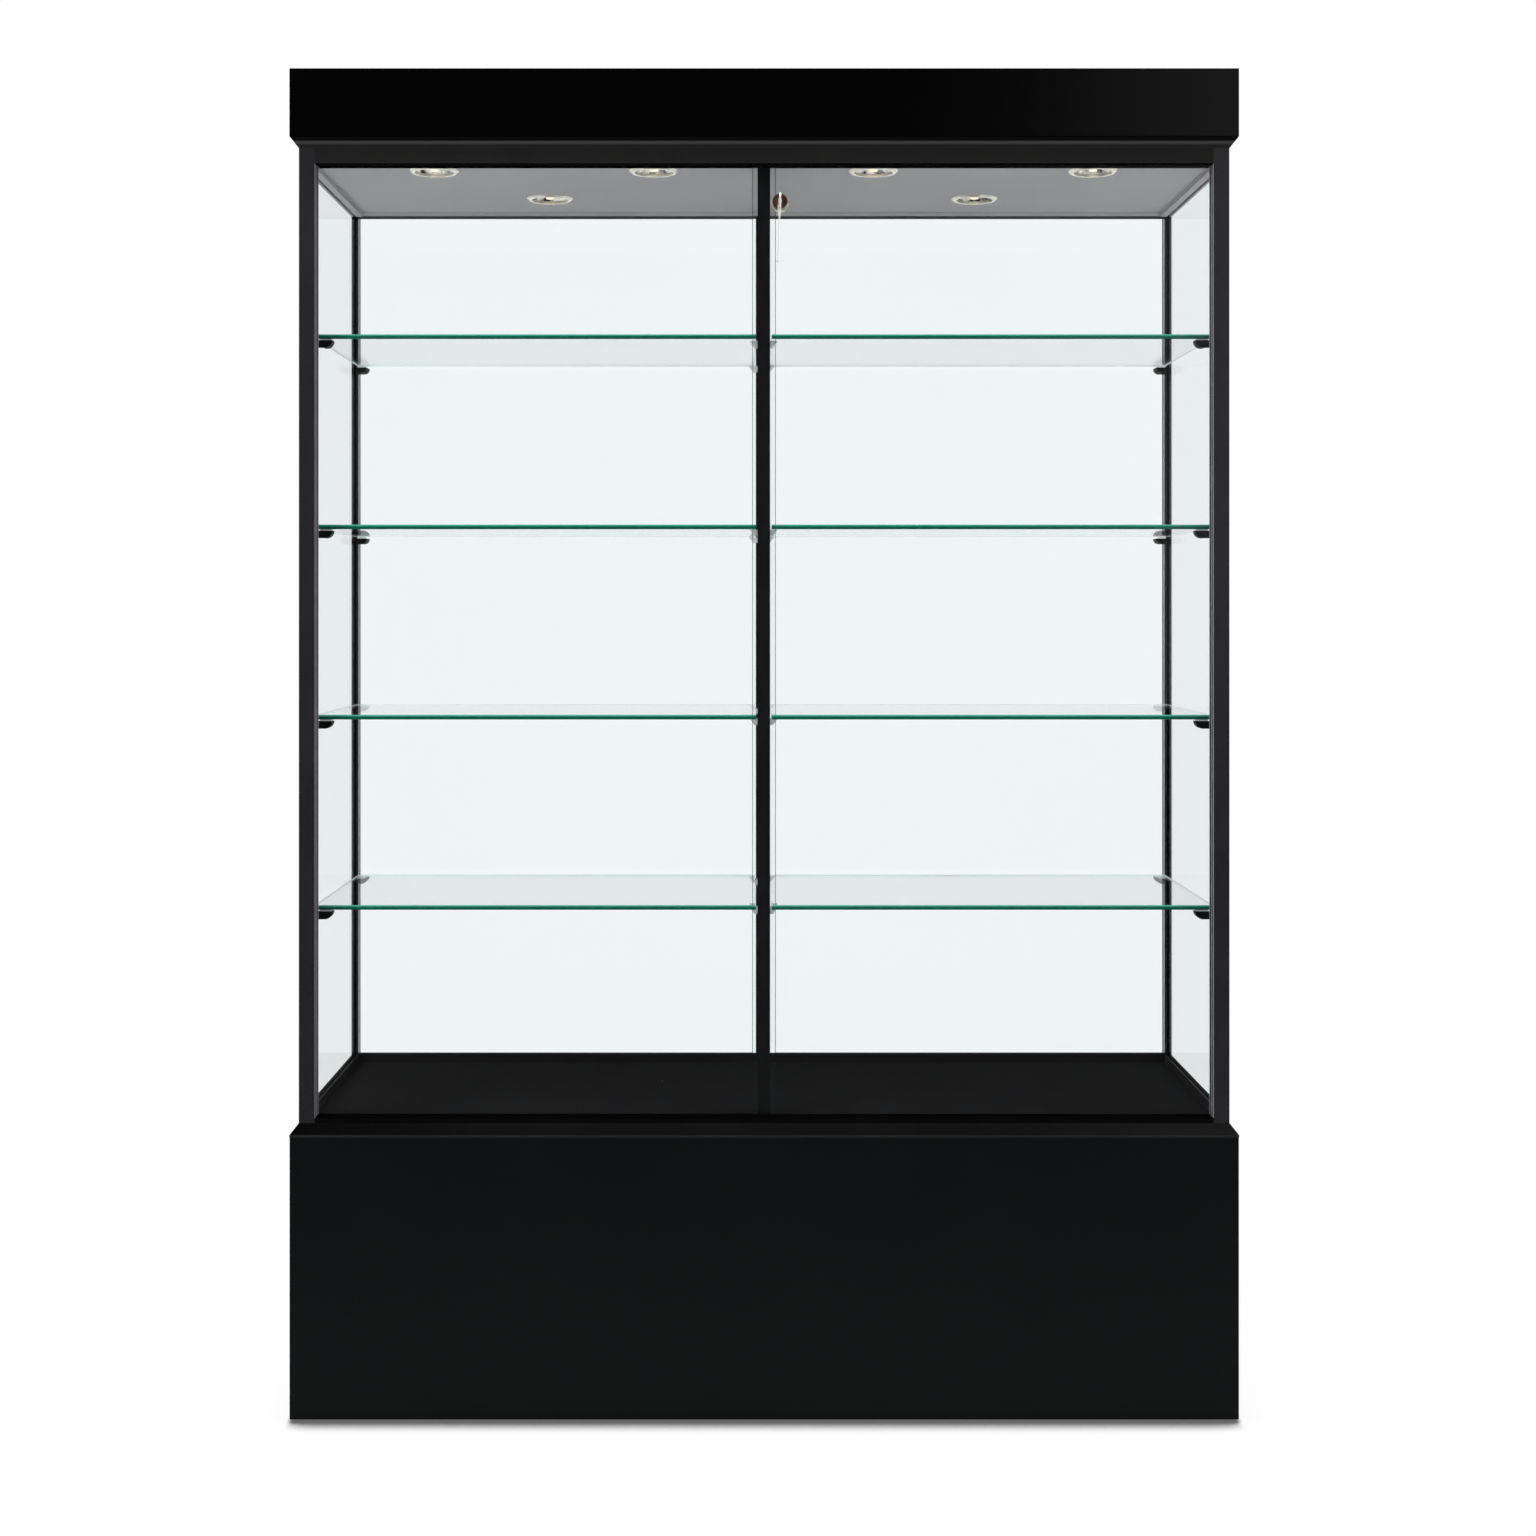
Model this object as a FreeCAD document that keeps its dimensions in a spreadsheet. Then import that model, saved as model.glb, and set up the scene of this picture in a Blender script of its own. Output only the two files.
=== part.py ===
import FreeCAD, Part
import Sketcher
import math
import os
import re

doc = FreeCAD.newDocument("DisplayCase")
sheet = doc.addObject("Spreadsheet::Sheet", "Sizes")

# Driving sizes in millimetres, X to the right, Y to the back, Z up
sizes = {
    "caseWidth": 1200,
    "caseDepth": 400,
    "plinthHeight": 377,
    "frameHeight": 1236,
    "headerHeight": 99,
    "overhang": 10,
    "bevelRise": 13,
    "bevelEase": 2,
    "footGap": 5,
    "footRadius": 20,
    "footStem": 4,
    "footInset": 60,
    "footAdjust": 1,
    "stemShort": 2,
    "stemFit": 0.3,
    "plinthBoard": 18,
    "deckBoard": 16,
    "baseThick": 16,
    "headerBoard": 16,
    "postFace": 20,
    "trackWall": 5,
    "trackRib": 4,
    "trackLip": 4,
    "grooveFit": 2,
    "doorRebate": 5,
    "topGroove": 13,
    "trackHeight": 6,
    "trackFloor": 2,
    "railFace": 12,
    "rearPostDepth": 20,
    "railHeight": 22,
    "fasciaHeight": 19,
    "sillHeight": 12,
    "sillFloor": 6,
    "ledgeRun": 6,
    "ledgeRise": 6,
    "wallThick": 2.5,
    "mullionFace": 16,
    "mullionDepth": 20,
    "mullionGap": 7,
    "mullionWeb": 6,
    "paneThick": 5,
    "paneFit": 0.6,
    "paneInset": 6,
    "slotDepth": 8,
    "paneGap": 1,
    "arris": 0.6,
    "doorOverlap": 15,
    "doorEngage": 8,
    "doorClear": 2,
    "glideThick": 1.5,
    "glideLength": 40,
    "glideInset": 30,
    "glideClear": 0.3,
    "shelfThick": 6,
    "firstShelf": 266,
    "shelfPitch": 244,
    "shelfFrontGap": 5,
    "shelfBackGap": 10,
    "shelfSideGap": 4.5,
    "shelfCentreGap": 2,
    "clipRadius": 9.5,
    "clipInset": 8,
    "clipDepth": 16,
    "clipTab": 5,
    "clipTabGap": 0.5,
    "rearClipRadius": 7.5,
    "rearClipReach": 18,
    "rearClipRun": 8,
    "padThick": 2,
    "padMargin": 2,
    "padSetback": 1,
    "centreClipWidth": 36,
    "centreClipTaper": 6,
    "centreClipRise": 8,
    "centreClipDepth": 18,
    "ceilingThick": 10,
    "ceilingGap": 1,
    "lampPitch": 285,
    "lampEdge": 1,
    "lampRearX": 294,
    "lampRearInset": 104,
    "collarRadius": 27.2,
    "collarWall": 2.2,
    "collarFit": 0.8,
    "bezelCover": 4,
    "bezelDrop": 2.5,
    "bezelSlope": 3,
    "housingRise": 46,
    "reflectorRise": 24,
    "reflectorThroat": 9,
    "reflectorRim": 2,
    "reflectorWall": 1.2,
    "reflectorFit": 0.3,
    "reflectorSeat": 1,
    "capsuleRadius": 5.5,
    "capsuleTip": 0,
    "springDrop": 2,
    "springThick": 1.2,
    "springReach": 12,
    "springWidth": 8,
    "lockInset": 35,
    "lockDrop": 49,
    "lockProud": 11,
    "lockLip": 1.5,
    "barrelRadius": 8,
    "barrelFit": 0.5,
    "barrelTail": 0.4,
    "nutThick": 4,
    "nutWall": 4,
    "nutFit": 0.2,
    "plugRadius": 4.5,
    "plugClear": 0.3,
    "plugRecess": 0.4,
    "keyThick": 2,
    "keyBlade": 5.4,
    "keyFit": 0.1,
    "keyNeck": 6,
    "keyShoulder": 0.8,
    "neckLength": 3,
    "bowRadius": 9,
    "bowHole": 2.2,
    "tieSlack": 0.9,
    "tieDrop": 0.45,
    "tieStand": 2.2,
    "threadRadius": 0.6,
    "knotRadius": 1.6,
    "driverLength": 150,
    "driverWidth": 44,
    "driverHeight": 30,
    "driverEase": 4,
    "leadWidth": 3,
    "leadHeight": 2,
    "leadStep": 8,
    "leadBend": 12,
    "glandInset": 180,
    "glandDrop": 50,
    "glandRadius": 6,
    "glandBore": 3.5,
    "glandFlange": 3,
    "glandProud": 3,
    "glandTail": 3,
    "glandFit": 0.3,
}
for row, (name, size) in enumerate(sizes.items(), start=1):
    sheet.set("A%d" % row, name)
    sheet.set("B%d" % row, str(size))
    sheet.setAlias("B%d" % row, name)
doc.recompute()

words = re.compile(r"[A-Za-z]\w*")
nodes = []


def bound(text):
    return words.sub(lambda m: "Sizes." + m[0] if m[0] in sizes else m[0], text)


def num(text):
    return float(sheet.evalExpression(bound(text)))


def tie(item, prop, text):
    item.setExpression(prop, bound(text))


def place(item, x="0", y="0", z="0"):
    for axis, text in zip("xyz", (x, y, z)):
        tie(item, "Placement.Base." + axis, text)
    return item


def box(label, x0, x1, y0, y1, z0, z1):
    item = doc.addObject("Part::Box", label)
    item.Label = label
    nodes.append(item)
    tie(item, "Length", "(%s)-(%s)" % (x1, x0))
    tie(item, "Width", "(%s)-(%s)" % (y1, y0))
    tie(item, "Height", "(%s)-(%s)" % (z1, z0))
    return place(item, x0, y0, z0)


def mirror(label, source, normal=(1, 0, 0)):
    item = doc.addObject("Part::Mirroring", label)
    item.Label = label
    nodes.append(item)
    item.Source = source
    item.Normal = FreeCAD.Vector(*normal)
    return item


def body(label):
    item = doc.addObject("PartDesign::Body", label)
    item.Label = label
    nodes.append(item)
    return item


def datum(owner, role):
    return [f for f in owner.Origin.OriginFeatures if f.Role == role][0]


def sketch(owner, name, role, x="0", y="0", z="0"):
    item = owner.newObject("Sketcher::SketchObject", owner.Name + name)
    item.AttachmentSupport = (datum(owner, role), [""])
    item.MapMode = "FlatFace"
    for axis, text in zip("xyz", (x, y, z)):
        tie(item, "AttachmentOffset.Base." + axis, text)
    return item


def pin(item, geo, point, x, y):
    for kind, axis, text in (("DistanceX", -2, x), ("DistanceY", -1, y)):
        value = num(text)
        if abs(value) < 1e-9:
            item.addConstraint(Sketcher.Constraint("PointOnObject", geo, point, axis))
        else:
            index = item.addConstraint(Sketcher.Constraint(kind, -1, 1, geo, point, value))
            tie(item, "Constraints[%d]" % index, text)


def outline(item, points):
    spots = [FreeCAD.Vector(num(x), num(y), 0) for x, y in points]
    first = item.GeometryCount
    count = len(points)
    for i in range(count):
        item.addGeometry(Part.LineSegment(spots[i], spots[(i + 1) % count]))
    for i in range(count):
        item.addConstraint(Sketcher.Constraint("Coincident", first + i, 2, first + (i + 1) % count, 1))
    for i, (x, y) in enumerate(points):
        pin(item, first + i, 1, x, y)
    return item


def rectangle(item, x0, x1, y0, y1):
    return outline(item, [(x0, y0), (x1, y0), (x1, y1), (x0, y1)])


def circle(item, x, y, radius):
    centre = FreeCAD.Vector(num(x), num(y), 0)
    geo = item.addGeometry(Part.Circle(centre, FreeCAD.Vector(0, 0, 1), num(radius)))
    index = item.addConstraint(Sketcher.Constraint("Radius", geo, num(radius)))
    tie(item, "Constraints[%d]" % index, radius)
    pin(item, geo, 3, x, y)
    return item


def polygon(item, count, x, y, radius, first=0):
    points = []
    for i in range(count):
        angle = first + 360 / count * i
        points.append(("%s+%s*cos(%g)" % (x, radius, angle), "%s+%s*sin(%g)" % (y, radius, angle)))
    return outline(item, points)


def halfMoon(item, x, y, radius):
    centre = FreeCAD.Vector(num(x), num(y), 0)
    round_ = Part.Circle(centre, FreeCAD.Vector(0, 0, 1), num(radius))
    arc = item.addGeometry(Part.ArcOfCircle(round_, math.pi, 2 * math.pi))
    reach = FreeCAD.Vector(num(radius), 0, 0)
    flat = item.addGeometry(Part.LineSegment(centre + reach, centre - reach))
    item.addConstraint(Sketcher.Constraint("Coincident", arc, 2, flat, 1))
    item.addConstraint(Sketcher.Constraint("Coincident", arc, 1, flat, 2))
    item.addConstraint(Sketcher.Constraint("Horizontal", flat))
    item.addConstraint(Sketcher.Constraint("PointOnObject", arc, 3, flat))
    index = item.addConstraint(Sketcher.Constraint("Radius", arc, num(radius)))
    tie(item, "Constraints[%d]" % index, radius)
    pin(item, arc, 3, x, y)
    return item


def pad(owner, profile, length, backward=False):
    item = owner.newObject("PartDesign::Pad", profile.Name + "Pad")
    item.Profile = profile
    item.Reversed = backward
    tie(item, "Length", length)
    doc.recompute()
    return item


def pocket(owner, profile, length, backward=False):
    before = owner.Tip.Shape.Volume
    item = owner.newObject("PartDesign::Pocket", profile.Name + "Pocket")
    item.Profile = profile
    item.Reversed = backward
    tie(item, "Length", length)
    doc.recompute()
    if item.Shape.Volume >= before - 1e-6:
        raise ValueError(owner.Label + " pocket removes nothing")
    return item


def turn(owner, profile):
    item = owner.newObject("PartDesign::Revolution", profile.Name + "Turn")
    item.Profile = profile
    item.ReferenceAxis = (profile, ["V_Axis"])
    item.Angle = 360
    doc.recompute()
    return item


def repeat(owner, originals, role, length, occurrences):
    item = owner.newObject("PartDesign::LinearPattern", owner.Name + "Row")
    if originals:
        item.Originals = originals
    else:
        item.TransformMode = "Whole shape"
    item.Direction = (datum(owner, role), [""])
    tie(item, "Length", length)
    tie(item, "Occurrences", occurrences)
    owner.Tip = item
    doc.recompute()
    return item


def flip(owner, role):
    item = owner.newObject("PartDesign::Mirrored", owner.Name + "Flip")
    item.TransformMode = "Whole shape"
    item.MirrorPlane = (datum(owner, role), [""])
    owner.Tip = item
    doc.recompute()
    return item


def edgesWhere(shape, test):
    return ["Edge%d" % (i + 1) for i, edge in enumerate(shape.Edges) if test(edge.BoundBox)]


def bevel(owner, edges, rise, run):
    base = owner.Tip
    item = owner.newObject("PartDesign::Chamfer", owner.Name + "Bevel")
    item.Base = (base, edges)
    item.ChamferType = "Two distances"
    tie(item, "Size", rise)
    tie(item, "Size2", run)
    owner.Tip = item
    doc.recompute()
    return item


def ease(owner, edges, radius):
    base = owner.Tip
    item = owner.newObject("PartDesign::Fillet", owner.Name + "Ease")
    item.Base = (base, edges)
    tie(item, "Radius", radius)
    owner.Tip = item
    doc.recompute()
    return item


def grind(owner):
    base = owner.Tip
    item = owner.newObject("PartDesign::Chamfer", owner.Name + "Arris")
    item.Base = (base, [""])
    item.UseAllEdges = True
    tie(item, "Size", "arris")
    owner.Tip = item
    doc.recompute()
    return item


def level(edge, height):
    return abs(edge.ZMin - height) < 1e-4 and abs(edge.ZMax - height) < 1e-4


# Shared places
halfX = "(caseWidth/2)"
halfY = "(caseDepth/2)"
frameX = "(caseWidth/2-overhang)"
frameY = "(caseDepth/2-overhang)"
deck = "plinthHeight"
frameTop = "(plinthHeight+frameHeight)"
railZ = "(%s-railHeight)" % frameTop
fasciaZ = "(%s-fasciaHeight)" % frameTop
ceilingZ = "(%s+ledgeRise)" % railZ
ceilingTop = "(%s+ceilingThick)" % ceilingZ
caseTop = "(%s+headerHeight)" % frameTop
footX = "(caseWidth/2-footInset)"
footY = "(caseDepth/2-footInset)"
groove = "(paneThick+grooveFit)"
frontGroove = "(trackWall-%s)" % frameY
rearGroove = "(%s+%s+trackRib)" % (frontGroove, groove)
trackBack = "(%s+%s+trackLip)" % (rearGroove, groove)
frontPane = "(%s+grooveFit/2)" % frontGroove
rearPane = "(%s+grooveFit/2)" % rearGroove
openingX = "(%s-postFace)" % frameX
rebate = "(%s+doorRebate)" % openingX
rearPostY = "(%s-rearPostDepth)" % frameY
rearRailX = "(%s-railFace)" % frameX
rearRailY = "(%s-railFace)" % frameY
slotNear = "(paneInset+(paneThick+paneFit)/2)"
slotFar = "(paneInset-(paneThick+paneFit)/2)"
rearSlot = "(rearPostDepth-wallThick-%s)" % slotNear
mullionY = "(%s+mullionGap)" % trackBack
shelfFront = "(%s+shelfFrontGap)" % trackBack
shelfBack = "(%s-shelfBackGap)" % rearPostY
shelfSide = "(%s-paneInset-paneThick/2-shelfSideGap)" % frameX
shelfZ = "(plinthHeight+firstShelf)"
shelfNames = ("lowest", "lower", "upper", "highest")
shelfCount = str(len(shelfNames))
shelfRun = "(shelfPitch*(%s-1))" % shelfCount
clipX = "(%s-clipInset)" % openingX
clipZ = "(%s-padThick)" % shelfZ
lampHole = "(collarRadius+collarFit)"
bezelBore = "(collarRadius-collarWall)"
bezelRadius = "(%s+bezelCover)" % lampHole
lampFrontY = "(%s+ledgeRun+lampEdge+%s)" % (trackBack, bezelRadius)
lampRearY = "(%s-lampRearInset)" % rearPostY
lockX = "(lockInset-doorOverlap)"
lockZ = "(%s-lockDrop)" % fasciaZ
lockFace = "(%s-lockProud)" % frontPane
paneBack = "(%s+paneThick)" % frontPane
lockTail = "(%s+nutThick+barrelTail)" % paneBack
lockRadius = "(barrelRadius+lockLip)"
tieRadius = "(keyNeck/2+threadRadius+tieSlack)"
glandX = "(%s-glandInset)" % halfX
glandZ = "(%s-glandDrop)" % caseTop

# Plinth boards
plinthTop = body("plinth_top")
pad(plinthTop, rectangle(sketch(plinthTop, "Plan", "XY_Plane", z=deck + "-deckBoard"),
                         "-" + halfX, halfX, "-" + halfY, halfY), "deckBoard")
bevel(plinthTop, edgesWhere(plinthTop.Tip.Shape, lambda e: level(e, num(deck))), "bevelRise", "overhang")
ease(plinthTop, edgesWhere(plinthTop.Tip.Shape, lambda e: level(e, num(deck + "-bevelRise"))), "bevelEase")

panelTop = deck + "-deckBoard"
plinthFront = body("plinth_front_board")
pad(plinthFront, rectangle(sketch(plinthFront, "Plan", "XY_Plane", z="footGap"),
                           "-" + halfX, halfX, "-" + halfY, "plinthBoard-" + halfY),
    panelTop + "-footGap")
frontFace = num("-" + halfY)
ease(plinthFront, edgesWhere(plinthFront.Tip.Shape,
                             lambda e: e.ZLength > 1 and abs(e.YMax - frontFace) < 1e-4), "bevelEase")
mirror("plinth_back_board", plinthFront, (0, 1, 0))
plinthRight = box("plinth_right_board", halfX + "-plinthBoard", halfX, "plinthBoard-" + halfY,
                  halfY + "-plinthBoard", "footGap", panelTop)
mirror("plinth_left_board", plinthRight)

hexSides = 6
baseBoard = body("plinth_base_board")
basePlan = rectangle(sketch(baseBoard, "Plan", "XY_Plane", z="footGap"), "plinthBoard-" + halfX,
                     halfX + "-plinthBoard", "plinthBoard-" + halfY, halfY + "-plinthBoard")
for across in ("-" + footX, "0", footX):
    for along in ("-" + footY, footY):
        polygon(basePlan, hexSides, across, along, "(footStem+stemFit)")
pad(baseBoard, basePlan, "baseThick")
box("plinth_divider", "-plinthBoard/2", "plinthBoard/2", "plinthBoard-" + halfY, halfY + "-plinthBoard",
    "footGap+baseThick", panelTop)

feet = body("levelling_feet")
pad(feet, polygon(sketch(feet, "Sole", "XY_Plane"), hexSides, "-" + footX, "-" + footY, "footRadius"),
    "footGap-footAdjust")
stemPlan = sketch(feet, "Stem", "XY_Plane", z="footGap-footAdjust")
pad(feet, polygon(stemPlan, hexSides, "-" + footX, "-" + footY, "footStem"), "footAdjust+baseThick-stemShort")
repeat(feet, None, "X_Axis", footX + "*2", "3")
flip(feet, "XZ_Plane")

# Frame posts and mullions
frontPost = body("front_right_post")
frontSection = outline(sketch(frontPost, "Section", "XY_Plane", z=deck), [
    (openingX, "-" + frameY),
    (frameX, "-" + frameY),
    (frameX, trackBack),
    (frameX + "-" + slotFar, trackBack),
    (frameX + "-" + slotFar, trackBack + "-slotDepth"),
    (frameX + "-" + slotNear, trackBack + "-slotDepth"),
    (frameX + "-" + slotNear, trackBack),
    (openingX, trackBack),
    (openingX, rearGroove + "+" + groove),
    (rebate, rearGroove + "+" + groove),
    (rebate, rearGroove),
    (openingX, rearGroove),
    (openingX, frontGroove + "+" + groove),
    (rebate, frontGroove + "+" + groove),
    (rebate, frontGroove),
    (openingX, frontGroove),
])
rectangle(frontSection, rebate + "+wallThick", frameX + "-wallThick", "wallThick-" + frameY,
          trackBack + "-slotDepth-wallThick")
pad(frontPost, frontSection, "frameHeight")
mirror("front_left_post", frontPost)

rearPost = body("rear_right_post")
pad(rearPost, outline(sketch(rearPost, "Section", "XY_Plane", z=deck), [
    (rearRailX, rearPostY),
    (frameX + "-" + slotNear, rearPostY),
    (frameX + "-" + slotNear, rearPostY + "+" + rearSlot),
    (frameX + "-" + slotFar, rearPostY + "+" + rearSlot),
    (frameX + "-" + slotFar, rearPostY),
    (frameX, rearPostY),
    (frameX, frameY),
    (rearRailX, frameY),
    (rearRailX, frameY + "-" + slotFar),
    (frameX + "-paneInset", frameY + "-" + slotFar),
    (frameX + "-paneInset", frameY + "-" + slotNear),
    (rearRailX, frameY + "-" + slotNear),
]), "frameHeight")
mirror("rear_left_post", rearPost)

frontMullion = body("front_mullion")
mullionPlan = rectangle(sketch(frontMullion, "Section", "XY_Plane", z=deck), "-mullionFace/2",
                        "mullionFace/2", mullionY, mullionY + "+mullionDepth")
rectangle(mullionPlan, "wallThick-mullionFace/2", "mullionFace/2-wallThick", mullionY + "+wallThick",
          mullionY + "+mullionDepth-wallThick")
pad(frontMullion, mullionPlan, ceilingZ + "-" + deck)

rearMullion = body("rear_mullion")
pad(rearMullion, outline(sketch(rearMullion, "Section", "XY_Plane", z=deck + "+sillHeight"), [
    ("-mullionFace/2", rearPostY),
    ("mullionFace/2", rearPostY),
    ("mullionFace/2", frameY + "-" + slotNear),
    ("mullionWeb/2", frameY + "-" + slotNear),
    ("mullionWeb/2", frameY + "-" + slotFar),
    ("mullionFace/2", frameY + "-" + slotFar),
    ("mullionFace/2", frameY),
    ("-mullionFace/2", frameY),
    ("-mullionFace/2", frameY + "-" + slotFar),
    ("-mullionWeb/2", frameY + "-" + slotFar),
    ("-mullionWeb/2", frameY + "-" + slotNear),
    ("-mullionFace/2", frameY + "-" + slotNear),
]), railZ + "-" + deck + "-sillHeight")

# Top rails, with the ledge that the ceiling lies on
frontRail = body("front_top_rail")
pad(frontRail, outline(sketch(frontRail, "Section", "YZ_Plane", z="-" + openingX), [
    ("-" + frameY, fasciaZ),
    (frontGroove, fasciaZ),
    (frontGroove, fasciaZ + "+topGroove"),
    (frontGroove + "+" + groove, fasciaZ + "+topGroove"),
    (frontGroove + "+" + groove, fasciaZ),
    (rearGroove, fasciaZ),
    (rearGroove, fasciaZ + "+topGroove"),
    (rearGroove + "+" + groove, fasciaZ + "+topGroove"),
    (rearGroove + "+" + groove, fasciaZ),
    (trackBack + "+ledgeRun", fasciaZ),
    (trackBack + "+ledgeRun", ceilingZ),
    (trackBack, ceilingZ),
    (trackBack, frameTop),
    ("-" + frameY, frameTop),
]), openingX + "*2")


def ledgeRail(outside):
    return [
        (outside + "-railFace-ledgeRun", railZ),
        (outside + "-" + slotNear, railZ),
        (outside + "-" + slotNear, railZ + "+slotDepth"),
        (outside + "-" + slotFar, railZ + "+slotDepth"),
        (outside + "-" + slotFar, railZ),
        (outside, railZ),
        (outside, frameTop),
        (outside + "-railFace", frameTop),
        (outside + "-railFace", ceilingZ),
        (outside + "-railFace-ledgeRun", ceilingZ),
    ]


def sillRail(outside):
    return [
        (outside + "-railFace", deck),
        (outside, deck),
        (outside, deck + "+sillHeight"),
        (outside + "-" + slotFar, deck + "+sillHeight"),
        (outside + "-" + slotFar, deck + "+sillFloor"),
        (outside + "-" + slotNear, deck + "+sillFloor"),
        (outside + "-" + slotNear, deck + "+sillHeight"),
        (outside + "-railFace", deck + "+sillHeight"),
    ]


sideRun = rearPostY + "-" + trackBack
rearRail = body("rear_top_rail")
pad(rearRail, outline(sketch(rearRail, "Section", "YZ_Plane", z="-" + rearRailX), ledgeRail(frameY)),
    rearRailX + "*2")
sideRail = body("right_top_rail")
pad(sideRail, outline(sketch(sideRail, "Section", "XZ_Plane", z="-" + rearPostY), ledgeRail(frameX)), sideRun)
mirror("left_top_rail", sideRail)

# Bottom rails and the front door track
rearSill = body("rear_bottom_rail")
pad(rearSill, outline(sketch(rearSill, "Section", "YZ_Plane", z="-" + rearRailX), sillRail(frameY)),
    rearRailX + "*2")
sideSill = body("right_bottom_rail")
pad(sideSill, outline(sketch(sideSill, "Section", "XZ_Plane", z="-" + rearPostY), sillRail(frameX)), sideRun)
mirror("left_bottom_rail", sideSill)
frontTrack = body("front_bottom_track")
pad(frontTrack, outline(sketch(frontTrack, "Section", "YZ_Plane", z="-" + openingX), [
    ("-" + frameY, deck),
    (trackBack, deck),
    (trackBack, deck + "+trackHeight"),
    (rearGroove + "+" + groove, deck + "+trackHeight"),
    (rearGroove + "+" + groove, deck + "+trackFloor"),
    (rearGroove, deck + "+trackFloor"),
    (rearGroove, deck + "+trackHeight"),
    (frontGroove + "+" + groove, deck + "+trackHeight"),
    (frontGroove + "+" + groove, deck + "+trackFloor"),
    (frontGroove, deck + "+trackFloor"),
    (frontGroove, deck + "+trackHeight"),
    ("-" + frameY, deck + "+trackHeight"),
]), openingX + "*2")


# Glass, with its edges ground
def glass(label, role, x0, x1, y0, y1, start, thick, backward=False, hole=None):
    item = body(label)
    plan = rectangle(sketch(item, "Plan", role, z=start), x0, x1, y0, y1)
    if hole:
        circle(plan, *hole)
    pad(item, plan, thick, backward)
    grind(item)
    return item


paneLow = deck + "+sillFloor"
paneHigh = railZ + "+slotDepth-paneGap"
sideGlass = glass("right_side_glass", "YZ_Plane", trackBack + "-slotDepth+paneGap",
                  rearPostY + "+" + rearSlot + "-paneGap", paneLow, paneHigh,
                  frameX + "-paneInset-paneThick/2", "paneThick")
mirror("left_side_glass", sideGlass)
backGlass = glass("right_back_glass", "XZ_Plane", "mullionWeb/2+paneGap/2", frameX + "-paneInset-paneGap/2",
                  paneLow, paneHigh, "paneInset+paneThick/2-" + frameY, "paneThick", True)
mirror("left_back_glass", backGlass)

doorLow = deck + "+trackFloor+glideClear+glideThick"
doorHigh = fasciaZ + "+doorEngage"
doorEdge = rebate + "-doorClear"
glass("right_door_glass", "XZ_Plane", "-doorOverlap", doorEdge, doorLow, doorHigh, "-" + frontPane,
      "paneThick", True, (lockX, lockZ, "barrelRadius+barrelFit"))
glass("left_door_glass", "XZ_Plane", "-(" + doorEdge + ")", "doorOverlap", doorLow, doorHigh,
      "-" + rearPane, "paneThick", True)

for step, name in enumerate(shelfNames):
    rightShelf = glass(name + "_right_shelf", "XY_Plane", "mullionFace/2+shelfCentreGap", shelfSide,
                       shelfFront, shelfBack, shelfZ + "+shelfPitch*%d" % step, "shelfThick")
    mirror(name + "_left_shelf", rightShelf)


# Door glides
def glides(label, near, far, pane):
    item = body(label)
    plan = sketch(item, "Plan", "XY_Plane", z=deck + "+trackFloor+glideClear")
    for start in (near, far):
        rectangle(plan, start, start + "+glideLength", pane, pane + "+paneThick")
    pad(item, plan, "glideThick")


glides("right_door_glides", "glideInset-doorOverlap", doorEdge + "-glideInset-glideLength", frontPane)
glides("left_door_glides", "doorOverlap-glideInset-glideLength", "glideInset-(" + doorEdge + ")", rearPane)

# Shelf clips on the posts, one row per post, with a clear pad on each
clips = body("shelf_clips")
pad(clips, halfMoon(sketch(clips, "Moon", "XZ_Plane", z="-" + trackBack), clipX, clipZ, "clipRadius"),
    "clipDepth", True)
pad(clips, rectangle(sketch(clips, "Tab", "XZ_Plane", z="-" + trackBack), clipX,
                     frameX + "-" + slotNear + "-clipTabGap", clipZ + "-clipRadius", clipZ), "clipTab", True)
rearClipX = "(%s-rearClipRadius)" % rearRailX
pad(clips, halfMoon(sketch(clips, "RearMoon", "XZ_Plane", z="rearClipReach-" + rearPostY), rearClipX, clipZ,
                    "rearClipRadius"), "rearClipReach+rearClipRun", True)
pad(clips, rectangle(sketch(clips, "RearTab", "XZ_Plane", z="-" + rearPostY), rearClipX, rearRailX,
                     clipZ + "-rearClipRadius", clipZ), "rearClipRun", True)
repeat(clips, None, "Z_Axis", shelfRun, shelfCount)
flip(clips, "YZ_Plane")

pads = body("clip_pads")
padPlan = sketch(pads, "Plan", "XY_Plane", z=clipZ)
rectangle(padPlan, clipX + "-clipRadius+padMargin", clipX + "+clipRadius-padMargin",
          shelfFront + "+padSetback", trackBack + "+clipDepth")
rectangle(padPlan, rearClipX + "-rearClipRadius+padMargin", rearRailX + "-padMargin",
          rearPostY + "-rearClipReach", shelfBack + "-padSetback")
pad(pads, padPlan, "padThick")
repeat(pads, None, "Z_Axis", shelfRun, shelfCount)
flip(pads, "YZ_Plane")

centreClips = body("centre_clips")
wedge = [
    ("-centreClipWidth/2", shelfZ),
    ("centreClipTaper-centreClipWidth/2", shelfZ + "-centreClipRise"),
    ("centreClipWidth/2-centreClipTaper", shelfZ + "-centreClipRise"),
    ("centreClipWidth/2", shelfZ),
]
pad(centreClips, outline(sketch(centreClips, "Front", "XZ_Plane", z="-mullionDepth-" + mullionY), wedge),
    "centreClipDepth", True)
pad(centreClips, outline(sketch(centreClips, "Rear", "XZ_Plane", z="-" + rearPostY), wedge),
    "centreClipDepth")
repeat(centreClips, None, "Z_Axis", shelfRun, shelfCount)

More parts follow.
